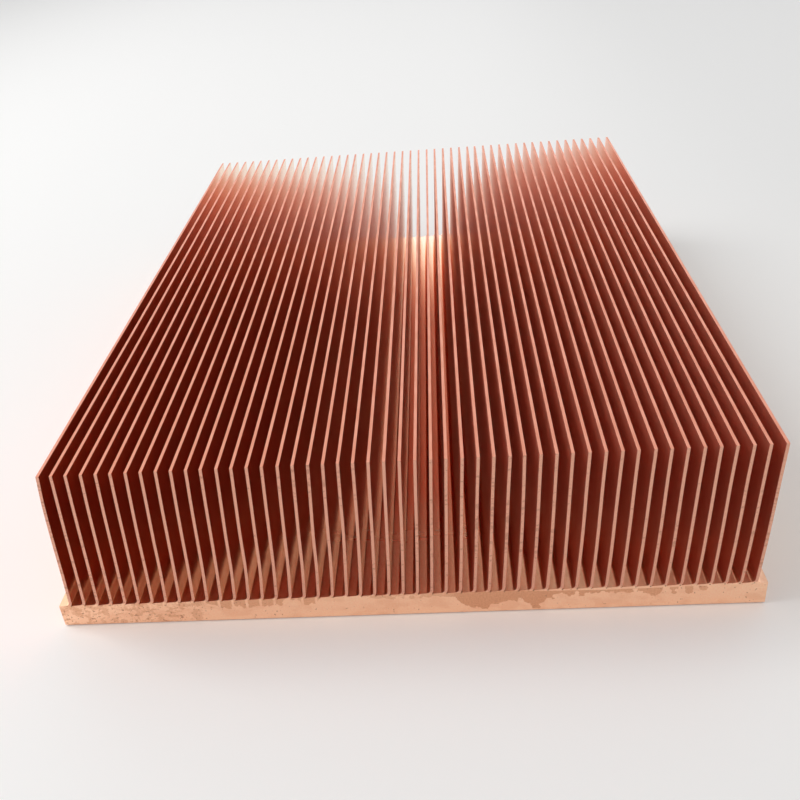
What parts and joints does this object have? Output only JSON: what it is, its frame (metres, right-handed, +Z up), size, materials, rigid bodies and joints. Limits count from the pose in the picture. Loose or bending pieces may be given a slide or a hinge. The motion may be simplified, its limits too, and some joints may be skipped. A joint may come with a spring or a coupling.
{
  "type": "skived copper heat sink",
  "caption": "Flat copper heat sink: a thin base plate with a close row of tall upright fins skived from the same block, each on a curled root, for clamping onto a hot chip.",
  "frame": {"origin": "middle of the flat underside of the base", "axes": "+Y runs along the fins and the air gaps, towards the far end of the picture; +X runs across the fins, the way their tips lean; +Z points up from the base to the fin tips"},
  "size_m": [0.0776, 0.104, 0.0209],
  "materials": {
    "copper": "bare copper, bright on the skived faces and satin on the sawn ends"
  },
  "bodies": {
    "root": {"heat_sink": "copper"}
  },
  "joints": []
}
